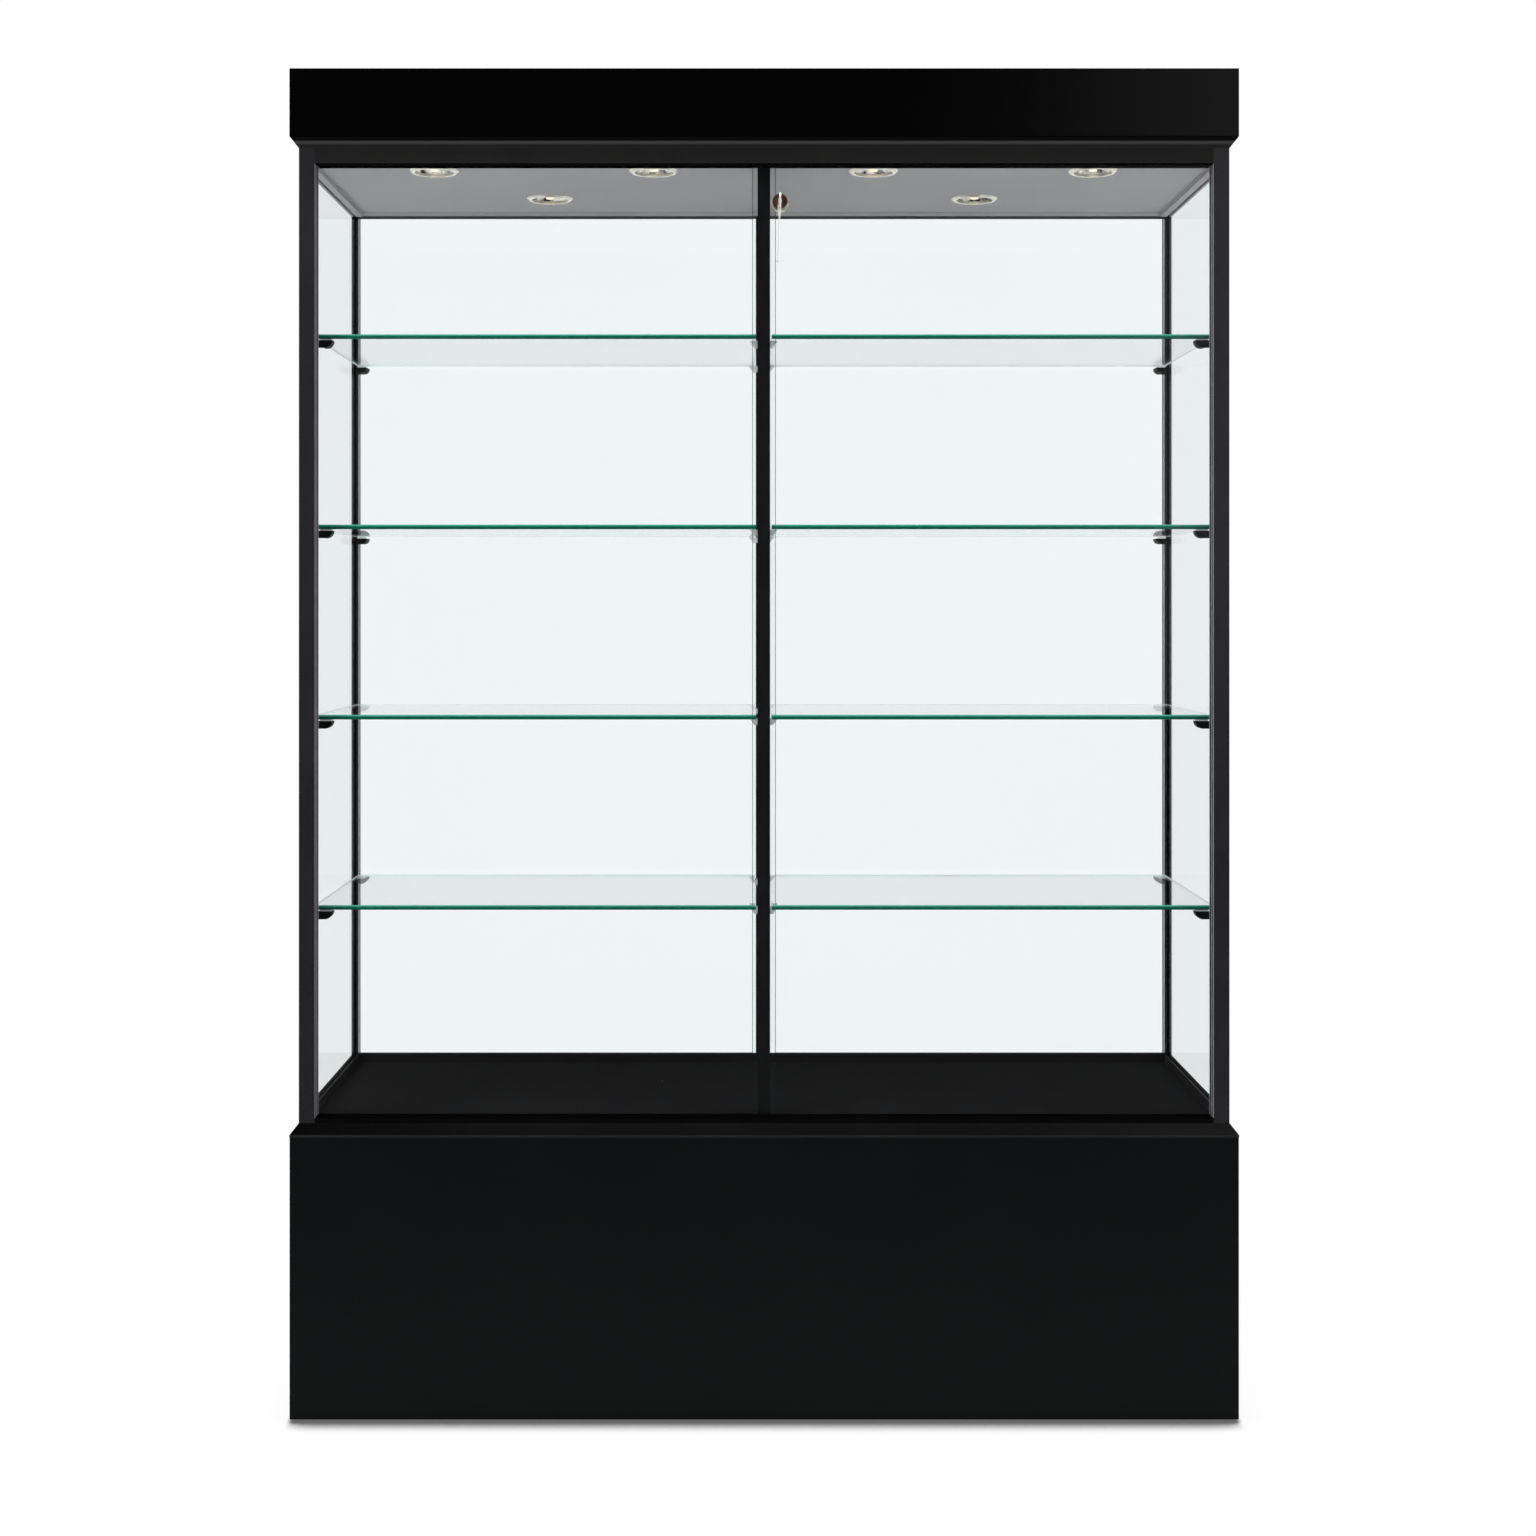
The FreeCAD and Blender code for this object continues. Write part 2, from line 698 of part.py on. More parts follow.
# Ceiling and downlights
ceiling = body("ceiling_panel")
ceilingPlan = rectangle(sketch(ceiling, "Plan", "XY_Plane", z=ceilingZ), "ceilingGap-" + rearRailX,
                        rearRailX + "-ceilingGap", trackBack + "+ceilingGap", rearRailY + "-ceilingGap")
for across in ("-lampPitch*1.5", "-lampPitch*0.5", "lampPitch*0.5", "lampPitch*1.5"):
    circle(ceilingPlan, across, lampFrontY, lampHole)
for across in ("-lampRearX", "lampRearX"):
    circle(ceilingPlan, across, lampRearY, lampHole)
pad(ceiling, ceilingPlan, "ceilingThick")

lampRows = (
    ("Front", "-lampPitch*1.5", lampFrontY, "lampPitch*3", "4"),
    ("Rear", "-lampRearX", lampRearY, "lampRearX*2", "2"),
)

bezels = body("downlight_bezels")
for name, x, y, run, count in lampRows:
    bezelSection = outline(sketch(bezels, name, "XZ_Plane", x=x, z="-" + y), [
        (bezelBore, ceilingZ + "+reflectorRise"),
        ("collarRadius", ceilingZ + "+reflectorRise"),
        ("collarRadius", ceilingZ),
        (bezelRadius, ceilingZ),
        (bezelRadius + "-bezelSlope", ceilingZ + "-bezelDrop"),
        (bezelBore, ceilingZ + "-bezelDrop"),
    ])
    repeat(bezels, [turn(bezels, bezelSection)], "X_Axis", run, count)


def prisms(label, sides, radius, low, high):
    item = body(label)
    for name, x, y, run, count in lampRows:
        plan = sketch(item, name, "XY_Plane", x=x, y=y, z=ceilingZ + "+" + low)
        polygon(plan, sides, "0", "0", radius)
        repeat(item, [pad(item, plan, high + "-" + low)], "X_Axis", run, count)


boxSides = 8
facetCount = 12
prisms("downlight_housings", boxSides, "collarRadius", "reflectorRise", "housingRise")
prisms("downlight_lamps", facetCount, "capsuleRadius", "capsuleTip", "reflectorRise")

# Faceted reflector bowls: a prism with its outside and its throat cut to a slope
flatShare = "cos(%g)" % (180 / facetCount)
mouthRadius = "(%s-reflectorFit)" % bezelBore
bowlHeight = "(reflectorRise-reflectorSeat)"


def bowlRow(name, x, y, run, count):
    item = doc.addObject("PartDesign::Body", "bowl" + name)
    low = ceilingZ + "+reflectorSeat"
    slope = bowlHeight + "-reflectorRim"
    reach = "(%s-reflectorThroat-reflectorWall)*%s" % (mouthRadius, flatShare)
    mouthPlan = sketch(item, "Mouth", "XY_Plane", x=x, y=y, z=low)
    pad(item, polygon(mouthPlan, facetCount, "0", "0", mouthRadius), bowlHeight)
    topZ = num(ceilingZ + "+reflectorRise")
    bevel(item, edgesWhere(item.Tip.Shape, lambda e: level(e, topZ)), slope, reach)
    throatPlan = sketch(item, "Throat", "XY_Plane", x=x, y=y, z=low)
    pocket(item, polygon(throatPlan, facetCount, "0", "0", "reflectorThroat"), bowlHeight + "*2", True)
    middle = FreeCAD.Vector(num(x), num(y), num(low))
    throat = num("reflectorThroat")
    bevel(item, edgesWhere(item.Tip.Shape, lambda e: level(e, middle.z) and middle.distanceToPoint(
        e.Center) < throat), reach, slope)
    repeat(item, None, "X_Axis", run, count)
    return item


bowls = doc.addObject("Part::Compound", "downlight_reflectors")
bowls.Label = "downlight_reflectors"
bowls.Links = [bowlRow(*row) for row in lampRows]
nodes.append(bowls)

springs = body("downlight_springs")


def leaf(sign):
    places = (
        ("collarRadius", "reflectorRise-springDrop"),
        ("collarRadius+springThick", "reflectorRise-springDrop"),
        (lampHole + "+springReach", "ceilingThick+springThick"),
        (lampHole + "+springReach", "ceilingThick"),
        (lampHole + "+springReach-springThick", "ceilingThick"),
        ("collarRadius", "reflectorRise-springDrop-springThick"),
    )
    return [("%s(%s)" % (sign, r), ceilingZ + "+" + z) for r, z in places]


for name, x, y, run, count in lampRows:
    leaves = sketch(springs, name, "XZ_Plane", x=x, z="-" + y + "-springWidth/2")
    for sign in ("", "-"):
        outline(leaves, leaf(sign))
    repeat(springs, [pad(springs, leaves, "springWidth")], "X_Axis", run, count)


# Header boards
def longBoard(label, side):
    item = body(label)
    inside = side + "(" + halfY + "-headerBoard)"
    rim = frameTop + "+bevelRise"
    low = rectangle(sketch(item, "Foot", "XY_Plane", z=frameTop), "-" + frameX, frameX, side + frameY, inside)
    high = rectangle(sketch(item, "Rim", "XY_Plane", z=rim), "-" + halfX, halfX, side + halfY, inside)
    flare = item.newObject("PartDesign::AdditiveLoft", label + "Flare")
    flare.Profile = low
    flare.Sections = [high]
    flare.Ruled = True
    doc.recompute()
    top = rectangle(sketch(item, "Top", "XY_Plane", z=rim), "-" + halfX, halfX, side + halfY, inside)
    pad(item, top, "headerHeight-bevelRise")
    back = num(inside)
    ease(item, edgesWhere(item.Tip.Shape, lambda e: level(e, num(rim)) and not (
        e.YLength < 1e-4 and abs(e.YMin - back) < 1e-4)), "bevelEase")
    return item


longBoard("header_front_board", "-")
backBoard = longBoard("header_back_board", "")
pocket(backBoard, circle(sketch(backBoard, "Drill", "XZ_Plane", z="-" + halfY), glandX, glandZ,
                         "glandRadius+glandFit"), "headerBoard*2", True)
sideBoard = body("header_right_board")
pad(sideBoard, outline(sketch(sideBoard, "Section", "XZ_Plane", z="headerBoard-" + halfY), [
    (halfX + "-headerBoard", frameTop),
    (frameX, frameTop),
    (halfX, frameTop + "+bevelRise"),
    (halfX, caseTop),
    (halfX + "-headerBoard", caseTop),
]), "caseDepth-headerBoard*2")
mirror("header_left_board", sideBoard)
box("header_top_board", "headerBoard-" + halfX, halfX + "-headerBoard", "headerBoard-" + halfY,
    halfY + "-headerBoard", caseTop + "-headerBoard", caseTop)

# Lock, key and thread
barrel = body("lock_barrel")
turn(barrel, outline(sketch(barrel, "Section", "XY_Plane", x=lockX, z=lockZ), [
    ("plugRadius+plugClear", lockFace),
    (lockRadius, lockFace),
    (lockRadius, frontPane),
    ("barrelRadius", frontPane),
    ("barrelRadius", lockTail),
    ("plugRadius+plugClear", lockTail),
]))
nutRadius = "(barrelRadius+nutWall)"
nut = body("lock_nut")
nutPlan = polygon(sketch(nut, "Section", "XZ_Plane", x=lockX, y=lockZ, z="-" + paneBack), hexSides, "0", "0",
                  nutRadius)
pad(nut, circle(nutPlan, "0", "0", "barrelRadius+nutFit"), "nutThick", True)
plug = body("lock_plug")
plugPlan = circle(sketch(plug, "Section", "XZ_Plane", x=lockX, y=lockZ, z="plugRecess-" + lockFace),
                  "0", "0", "plugRadius")
rectangle(plugPlan, "-keyThick/2-keyFit", "keyThick/2+keyFit", "-keyBlade/2-keyFit", "keyBlade/2+keyFit")
pad(plug, plugPlan, "lockProud+paneThick+nutThick", True)

key = body("lock_key")
keyPlace = {"y": lockZ, "z": lockX + "-keyThick/2"}
bowY = "(%s-neckLength-bowRadius)" % lockFace
pad(key, circle(sketch(key, "Bow", "YZ_Plane", **keyPlace), bowY, "0", "bowRadius"), "keyThick")
pad(key, rectangle(sketch(key, "Neck", "YZ_Plane", **keyPlace), bowY, lockFace + "-keyShoulder", "-keyNeck/2",
                   "keyNeck/2"), "keyThick")
pad(key, rectangle(sketch(key, "Blade", "YZ_Plane", **keyPlace), bowY, paneBack, "-keyBlade/2", "keyBlade/2"),
    "keyThick")
pocket(key, circle(sketch(key, "Eye", "YZ_Plane", **keyPlace), bowY + "-bowRadius/2", "0", "bowHole"),
       "keyThick*2", True)

# Thread tied round the neck of the key, loose enough for the key to turn in it
threadPoints = [(0, 0), (-0.8, -14), (-2.6, -32), (-2.2, -52), (-3.4, -71)]
strandSides = 4
arcShare = 0.45
thread = body("key_thread")
tieY = "(%s-tieStand)" % lockFace
tieZ = "(%s-tieDrop)" % lockZ
threadZ = "(%s-%s)" % (tieZ, tieRadius)
turn(thread, polygon(sketch(thread, "Loop", "XY_Plane", x=lockX, z=tieZ), strandSides, tieRadius, tieY,
                     "threadRadius", 45))


def route(item, points):
    spots = [FreeCAD.Vector(x, z, 0) for x, z in points]
    last = spots[0]
    for before, corner, after in zip(spots, spots[1:], spots[2:]):
        arrive = (corner - before).normalize()
        leave = (after - corner).normalize()
        reach = arcShare * min(corner.distanceToPoint(before), corner.distanceToPoint(after))
        half = arrive.getAngle(leave) / 2
        radius = reach / math.tan(half)
        print("thread bends at %.0f mm radius" % radius)
        middle = corner + (leave - arrive).normalize() * (radius / math.cos(half) - radius)
        item.addGeometry(Part.LineSegment(last, corner - arrive * reach))
        last = corner + leave * reach
        item.addGeometry(Part.Arc(corner - arrive * reach, middle, last))
    item.addGeometry(Part.LineSegment(last, spots[-1]))
    for geo in range(item.GeometryCount):
        item.addConstraint(Sketcher.Constraint("Block", geo))
    return item


def pipe(owner, profile, spine):
    item = owner.newObject("PartDesign::AdditivePipe", spine.Name + "Pipe")
    item.Profile = profile
    item.Spine = spine
    doc.recompute()
    return item


strand = route(sketch(thread, "Route", "XZ_Plane", x=lockX, y=threadZ, z="-" + tieY), threadPoints)
strandEnd = polygon(sketch(thread, "End", "XY_Plane", z=threadZ), strandSides, lockX, tieY, "threadRadius")
pipe(thread, strandEnd, strand)
endX, endZ = threadPoints[-1]
knotPlan = sketch(thread, "Knot", "XY_Plane", x="%s+%s" % (lockX, endX), y=tieY,
                  z="%s+%s-knotRadius" % (threadZ, endZ))
pad(thread, polygon(knotPlan, hexSides, "0", "0", "knotRadius"), "knotRadius*2")

# Driver between the two rows of lamps, its flat leads and the gland for the supply
driverY = "((%s+%s)/2)" % (lampFrontY, lampRearY)
driver = body("lamp_driver")
pad(driver, rectangle(sketch(driver, "Plan", "XY_Plane", z=ceilingTop), "-driverLength/2", "driverLength/2",
                      driverY + "-driverWidth/2", driverY + "+driverWidth/2"), "driverHeight")
ease(driver, edgesWhere(driver.Tip.Shape, lambda e: e.ZLength > 1), "driverEase")

leads = body("lamp_leads")
leadZ = "(%s+leadHeight/2)" % ceilingTop
for name, startY, endX, endY, sense in (
    ("Inner", driverY + "-leadStep*2", "lampPitch*0.5", lampFrontY + "+collarRadius", -1),
    ("Outer", driverY + "-leadStep", "lampPitch*1.5", lampFrontY + "+collarRadius", -1),
    ("Rear", driverY + "+leadStep", "lampRearX", lampRearY + "-collarRadius", 1),
):
    path = sketch(leads, name + "Route", "XY_Plane", z=leadZ)
    start = FreeCAD.Vector(num("driverLength/2"), num(startY), 0)
    end = FreeCAD.Vector(num(endX), num(endY), 0)
    bend = num("leadBend")
    along = FreeCAD.Vector(end.x - bend, start.y, 0)
    across = FreeCAD.Vector(end.x, start.y + sense * bend, 0)
    round_ = Part.Circle(FreeCAD.Vector(along.x, across.y, 0), FreeCAD.Vector(0, 0, 1), bend)
    path.addGeometry(Part.LineSegment(start, along))
    span = (0, math.pi / 2) if sense < 0 else (-math.pi / 2, 0)
    path.addGeometry(Part.ArcOfCircle(round_, *span))
    path.addGeometry(Part.LineSegment(across, end))
    arcStart, arcEnd = (2, 1) if sense < 0 else (1, 2)
    path.addConstraint(Sketcher.Constraint("Tangent", 0, 2, 1, arcStart))
    path.addConstraint(Sketcher.Constraint("Tangent", 1, arcEnd, 2, 1))
    path.addConstraint(Sketcher.Constraint("Horizontal", 0))
    path.addConstraint(Sketcher.Constraint("Vertical", 2))
    index = path.addConstraint(Sketcher.Constraint("Radius", 1, bend))
    tie(path, "Constraints[%d]" % index, "leadBend")
    pin(path, 0, 1, "driverLength/2", startY)
    pin(path, 2, 2, endX, endY)
    section = rectangle(sketch(leads, name + "End", "YZ_Plane", z="driverLength/2"), startY + "-leadWidth/2",
                        startY + "+leadWidth/2", leadZ + "-leadHeight/2", leadZ + "+leadHeight/2")
    pipe(leads, section, path)
flip(leads, "YZ_Plane")

gland = body("cable_gland")
glandPlace = {"x": glandX, "y": glandZ, "z": "-" + halfY}
flange = sketch(gland, "Flange", "XZ_Plane", **glandPlace)
polygon(flange, hexSides, "0", "0", "(glandRadius+glandFlange)")
pad(gland, circle(flange, "0", "0", "glandBore"), "glandProud", True)
shank = circle(sketch(gland, "Shank", "XZ_Plane", **glandPlace), "0", "0", "glandRadius")
pad(gland, circle(shank, "0", "0", "glandBore"), "headerBoard+glandTail")

# Check every object and write one file for each sub-part
doc.recompute()
for item in doc.Objects:
    if "Invalid" in item.State or "Error" in item.State:
        raise ValueError(item.Label + " did not build")
for item in nodes:
    if item.Shape.isNull() or not item.Shape.isValid():
        raise ValueError(item.Label + " has no valid shape")
os.makedirs("parts", exist_ok=True)
for item in nodes:
    item.Shape.exportStep("parts/%s.step" % item.Label)
print(len(nodes), "sub-parts written")
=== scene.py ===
import math

import bpy
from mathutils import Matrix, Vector


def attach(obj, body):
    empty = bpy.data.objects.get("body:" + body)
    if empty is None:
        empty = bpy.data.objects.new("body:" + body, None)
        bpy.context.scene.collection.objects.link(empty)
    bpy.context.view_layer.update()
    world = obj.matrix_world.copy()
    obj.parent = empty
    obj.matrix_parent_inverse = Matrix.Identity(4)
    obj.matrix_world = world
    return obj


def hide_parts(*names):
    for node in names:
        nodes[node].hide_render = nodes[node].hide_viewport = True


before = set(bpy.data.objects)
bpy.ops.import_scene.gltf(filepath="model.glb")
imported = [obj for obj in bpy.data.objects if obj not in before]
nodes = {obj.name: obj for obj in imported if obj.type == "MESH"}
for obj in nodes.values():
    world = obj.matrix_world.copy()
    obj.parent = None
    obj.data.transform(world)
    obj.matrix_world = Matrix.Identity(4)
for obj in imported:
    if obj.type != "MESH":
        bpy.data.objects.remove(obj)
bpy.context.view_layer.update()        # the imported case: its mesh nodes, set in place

print("frame loaded:", len(nodes), "nodes")


def linear(hexColour):
    channels = [int(hexColour[i:i + 2], 16) / 255 for i in (1, 3, 5)]
    return [c / 12.92 if c <= 0.04045 else ((c + 0.055) / 1.055) ** 2.4 for c in channels] + [1.0]


# A mix node's sockets go by number: 0 the share, 2 and 3 its numbers, 6 and 7 its colours
def addNode(tree, kind, settings=None, links=None):
    node = tree.nodes.new(kind)
    for name, value in (settings or {}).items():
        if isinstance(name, int) or name in node.inputs:
            node.inputs[name].default_value = value
        else:
            setattr(node, name, value)
    for name, source in (links or {}).items():
        tree.links.new(source, node.inputs[name])
    return node


def newMaterial(name):
    material = bpy.data.materials.new(name)
    material.use_nodes = True
    material.node_tree.nodes.clear()
    return material, material.node_tree


def metres(millimetres):
    return millimetres / 1000


def perMetre(millimetres):
    return 1000 / millimetres


def mottled(tree, patternMm, dim, bright):
    place = addNode(tree, "ShaderNodeTexCoord").outputs["Object"]
    clouds = addNode(tree, "ShaderNodeTexNoise", {"Scale": perMetre(patternMm)},
                     {"Vector": place}).outputs["Fac"]
    return addNode(tree, "ShaderNodeMix", {"data_type": "RGBA", 6: linear(dim), 7: linear(bright)},
                   {0: clouds}).outputs[2]


# Finishes that differ only in colours, grain and gloss
finishes = {
    # High-pressure laminate on fibreboard: a flat black with a soft sheen that is a little uneven
    "satinBlackLaminate": dict(
        dark="#060708", light="#0a0b0c", patternMm=160, rough=(0.34, 0.42), grainMm=3, grainDepthMm=0.01,
        specular=0.06, metallic=0.0),
    # The same laminate in a matt grade, for the case floor, so that goods are not mirrored in it
    "mattBlackLaminate": dict(
        dark="#171718", light="#1e1e1f", patternMm=160, rough=(0.6, 0.7), grainMm=3, grainDepthMm=0.01,
        specular=0.0, metallic=0.0),
    # And in a polished grade, for the header: jet black face on, bright only where an edge turns to the light
    "polishedBlackLaminate": dict(
        dark="#000000", light="#010102", patternMm=160, rough=(0.1, 0.14), grainMm=3, grainDepthMm=0.002,
        specular=0.4, metallic=0.0),
    # Powder coat on extruded aluminium: black with a fine orange peel, drawn coarser so that it shows
    "powderCoatedAluminium": dict(
        dark="#17161a", light="#1f1e23", patternMm=60, rough=(0.16, 0.24), grainMm=2, grainDepthMm=0.01,
        specular=0.4, metallic=0.0),
    # The same coat in a matt grade, so that the top rail and the sills don't mirror the goods
    "mattPowderCoat": dict(
        dark="#121212", light="#191918", patternMm=60, rough=(0.55, 0.65), grainMm=2, grainDepthMm=0.02,
        specular=0.04, metallic=0.0),
    # And with a fine texture, for the mullions, painted a shade darker as painted shade for the light they
    # lose behind the doors' glass
    "shadedPowderCoat": dict(
        dark="#0b0b0b", light="#111110", patternMm=60, rough=(0.6, 0.7), grainMm=1.5, grainDepthMm=0.04,
        specular=0.03, metallic=0.0),
    # Dyed anodic film on the same aluminium: a deeper black for the runs of the doors; on the front rail's
    # underside it is painted shade
    "deepBlackAnodiseAndShade": dict(
        dark="#040404", light="#080808", patternMm=60, rough=(0.4, 0.5), grainMm=2, grainDepthMm=0.01,
        specular=0.0, metallic=0.0),
    # Mid grey on the front posts' inner faces, painted light for the light they catch from the side glass and
    # the white room: no gloss, a coarse stipple
    "paintedLightPostFace": dict(
        dark="#76767c", light="#8e8e95", patternMm=4, rough=(0.85, 0.95), grainMm=1.5, grainDepthMm=0.1,
        specular=0.1, metallic=0.0),
    # Moulded nylon: dull black with a faint spark-eroded grain
    "mouldedBlackNylon": dict(
        dark="#050505", light="#0a0a0a", patternMm=12, rough=(0.5, 0.6), grainMm=1, grainDepthMm=0.03,
        specular=0.08, metallic=0.0),
    # Emulsion rolled on fibreboard: matt mid grey with a fine stipple
    "rolledGreyPaint": dict(
        dark="#9a9a9c", light="#a1a1a3", patternMm=90, rough=(0.7, 0.8), grainMm=2.5, grainDepthMm=0.05,
        specular=0.3, metallic=0.0),
    # Chrome plate on a turned ring: bright, a touch warm, with mottled pale and darker patches as painted
    # reflections
    "platedChrome": dict(
        dark="#b8ae9c", light="#fffaf0", patternMm=9, rough=(0.1, 0.22), grainMm=1.5, grainDepthMm=0.004,
        specular=0.5, metallic=0.5),
    # Dark nickel plate on the lock: a brown-black mirror
    "platedDarkNickel": dict(
        dark="#402a21", light="#6b4c3f", patternMm=6, rough=(0.25, 0.35), grainMm=1, grainDepthMm=0.004,
        specular=0.5, metallic=0.7),
    # Spun aluminium: bright, with broken dark patches painted on as painted reflections of what its facets
    # mirror
    "spunAluminium": dict(
        dark="#2b2620", light="#fffdf5", patternMm=14, spread=(0.40, 0.58), rough=(0.25, 0.4), grainMm=1,
        grainDepthMm=0.02, specular=0.5, metallic=0.35),
    # Hot-dip galvanised sheet: grey spangle
    "galvanisedSteel": dict(
        dark="#8d9296", light="#b7bcc0", patternMm=9, rough=(0.3, 0.5), grainMm=3, grainDepthMm=0.01,
        specular=0.5, metallic=1.0),
    # Nickel-plated key steel: pale, with the fine marks of use
    "nickelPlatedSteel": dict(
        dark="#d5cdc0", light="#f2ece0", patternMm=3, rough=(0.25, 0.4), grainMm=0.6, grainDepthMm=0.01,
        specular=0.5, metallic=0.4),
    # Moulded ABS case: light grey with a fine texture
    "mouldedGreyPlastic": dict(
        dark="#c4c4bf", light="#d0d0cb", patternMm=20, rough=(0.5, 0.6), grainMm=0.8, grainDepthMm=0.02,
        specular=0.4, metallic=0.0),
}


# What they share: how broken up clouds and grain are, and which part of the clouds goes from dark to light
grainLook = {"cloudDetail": 4.0, "grainDetail": 2.0, "bumpStrength": 0.4, "spread": (0.0, 1.0)}


def grainedMaterial(name, look):
    material, tree = newMaterial(name)
    place = addNode(tree, "ShaderNodeTexCoord").outputs["Object"]
    clouds = addNode(tree, "ShaderNodeTexNoise",
                     {"Scale": perMetre(look["patternMm"]), "Detail": grainLook["cloudDetail"]},
                     {"Vector": place}).outputs["Fac"]
    low, high = look.get("spread", grainLook["spread"])
    clouds = addNode(tree, "ShaderNodeMapRange", {"From Min": low, "From Max": high},
                     {"Value": clouds}).outputs["Result"]
    colour = addNode(tree, "ShaderNodeMix", {"data_type": "RGBA", 6: linear(look["dark"]),
                                             7: linear(look["light"])}, {0: clouds}).outputs[2]
    rough = addNode(tree, "ShaderNodeMapRange", {"To Min": look["rough"][0], "To Max": look["rough"][1]},
                    {"Value": clouds}).outputs["Result"]
    grain = addNode(tree, "ShaderNodeTexNoise",
                    {"Scale": perMetre(look["grainMm"]), "Detail": grainLook["grainDetail"]},
                    {"Vector": place}).outputs["Fac"]
    bump = addNode(tree, "ShaderNodeBump",
                   {"Strength": grainLook["bumpStrength"], "Distance": metres(look["grainDepthMm"])},
                   {"Height": grain}).outputs["Normal"]
    shader = addNode(tree, "ShaderNodeBsdfPrincipled",
                     {"Metallic": look["metallic"], "Specular IOR Level": look["specular"]},
                     {"Base Color": colour, "Roughness": rough, "Normal": bump})
    addNode(tree, "ShaderNodeOutputMaterial", None, {"Surface": shader.outputs["BSDF"]})
    return material


materials = {name: grainedMaterial(name, look) for name, look in finishes.items()}

# Clear float glass: nearly colourless face on, with the faint green of its iron. Side panes and shelves are
# seen at a slant and hardly mirror, as under an anti-reflective coat
floatGlassLook = {"pale": "#fcfefe", "deep": "#fafefe", "slant": "#ecedee", "patternMm": 400,
                  "shade": "#fafafa", "slantBlend": 0.5, "bareIor": 1.33, "coatedIor": 1.03}


def floatGlass(name, ior):
    material, tree = newMaterial(name)
    tint = mottled(tree, floatGlassLook["patternMm"], floatGlassLook["deep"], floatGlassLook["pale"])
    slant = addNode(tree, "ShaderNodeLayerWeight", {"Blend": floatGlassLook["slantBlend"]}).outputs["Facing"]
    tint = addNode(tree, "ShaderNodeMix", {"data_type": "RGBA", 7: linear(floatGlassLook["slant"])},
                   {0: slant, 6: tint}).outputs[2]
    shader = addNode(tree, "ShaderNodeBsdfPrincipled",
                     {"Transmission Weight": 1.0, "Roughness": 0.0, "IOR": ior},
                     {"Base Color": tint})
    clear = addNode(tree, "ShaderNodeBsdfTransparent", {"Color": linear(floatGlassLook["shade"])})
    path = addNode(tree, "ShaderNodeLightPath")
    passing = addNode(tree, "ShaderNodeMath", {"operation": "MAXIMUM"},
                      {0: path.outputs["Is Shadow Ray"], 1: path.outputs["Is Diffuse Ray"]})
    mixed = addNode(tree, "ShaderNodeMixShader", None, {0: passing.outputs[0], 1: shader.outputs["BSDF"],
                                                        2: clear.outputs["BSDF"]})
    addNode(tree, "ShaderNodeOutputMaterial", None, {"Surface": mixed.outputs[0]})
    return material


# Edges whose colour changes with height, as a share of their piece's height
edgeIor = 1.45
edges = {
    # Ground glass edge: sea green from the long way through the sheet, with a painted highlight along its
    # upper arris
    "groundGlassEdge": {"bands": [(0.55, "#004a39"), (0.85, "#3f9985")], "rough": 0.2, "specular": 0.5},
    # Polished glass edge: opaque, painted pale as painted light in place of the pale ground that shows
    # through it
    "polishedGlassEdge": {"bands": [(0.2, "#d6e3df"), (0.8, "#e0eae7")], "rough": 0.3, "specular": 0.5},
    # Lacquer on the bevel along the header's foot, shaded in paint: black above, a painted highlight line,
    # and dark grey below as painted shading of a rounded edge
    "headerBevelPaintedShading": {
        "bands": [(0.040, "#191919"), (0.054, "#303030"), (0.074, "#303030"), (0.088, "#030303")],
        "rough": 0.45, "specular": 0.06},
    # Grey paint on the rear rail's face, painted lighter than the ceiling as painted light against the shade
    # of its corner, with a darker band along the lower arris as painted shade
    "rearRailPaintedLightAndShade": {"bands": [(0.06, "#5c5c5c"), (0.08, "#b2b2b4")], "rough": 0.75, "specular": 0.3},
}


def bandedEdge(name, look):
    material, tree = newMaterial(name)
    place = addNode(tree, "ShaderNodeTexCoord").outputs["Generated"]
    height = addNode(tree, "ShaderNodeSeparateXYZ", None, {0: place}).outputs["Z"]
    ramp = addNode(tree, "ShaderNodeValToRGB", None, {0: height})
    bands = ramp.color_ramp.elements
    for spot, colour in look["bands"]:
        bands.new(spot).color = linear(colour)
    bands.remove(bands[0])      # the two that a new ramp comes with
    bands.remove(bands[-1])
    shader = addNode(tree, "ShaderNodeBsdfPrincipled",
                     {"Roughness": look["rough"], "Specular IOR Level": look["specular"], "IOR": edgeIor},
                     {"Base Color": ramp.outputs["Color"]})
    addNode(tree, "ShaderNodeOutputMaterial", None, {"Surface": shader.outputs["BSDF"]})
    return material


# Moulded clear polycarbonate: milky where it is thick
clearPlasticLook = {"pale": "#e2e8e7", "dim": "#c6cfcd", "patternMm": 8, "clear": 0.3, "rough": 0.18,
                    "ior": 1.58}


def clearPlastic():
    look = clearPlasticLook
    material, tree = newMaterial("mouldedClearPolycarbonate")
    colour = mottled(tree, look["patternMm"], look["dim"], look["pale"])
    shader = addNode(tree, "ShaderNodeBsdfPrincipled",
                     {"Transmission Weight": look["clear"], "Roughness": look["rough"], "IOR": look["ior"]},
                     {"Base Color": colour})
    addNode(tree, "ShaderNodeOutputMaterial", None, {"Surface": shader.outputs["BSDF"]})
    return material


# Frosted lamp capsule, lit: warm white, uneven as the frosting is
lampLook = {"bright": "#fff6e4", "dim": "#e8d4b0", "patternMm": 5, "body": "#b5ab98", "rough": 0.4,
            "strength": 0.8}


